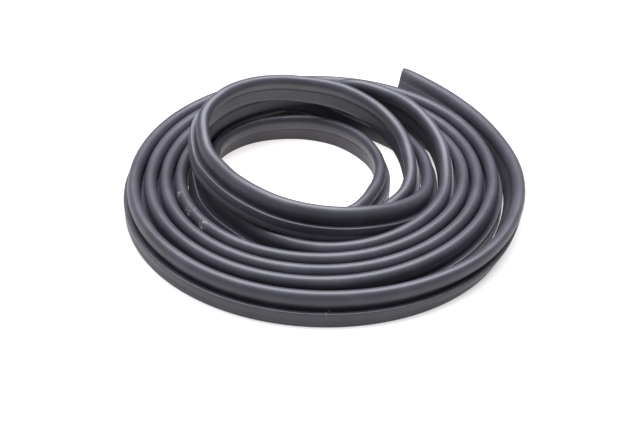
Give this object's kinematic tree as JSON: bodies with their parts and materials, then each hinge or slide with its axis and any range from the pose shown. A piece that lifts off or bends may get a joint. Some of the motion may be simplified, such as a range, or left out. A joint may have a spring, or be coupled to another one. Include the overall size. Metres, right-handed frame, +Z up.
{
  "type": "car door seal",
  "caption": "Loose coil of extruded black rubber door seal: a solid base with a side flange, a hollow sealing bulb on top with small vent holes, and a free cut end.",
  "frame": {"origin": "middle of the coil's whole width and depth, on the floor that its underside stands on", "axes": "+Z up along the coil's axis; +X to the right and +Y to the back as the picture shows it, with the outer cut end at the left of the back"},
  "size_m": [0.2758, 0.2841, 0.0659],
  "materials": {
    "rubber": "matte sponge rubber with a cold grey sheen and light dust"
  },
  "bodies": {
    "root": {"door_seal": "rubber"}
  },
  "joints": []
}
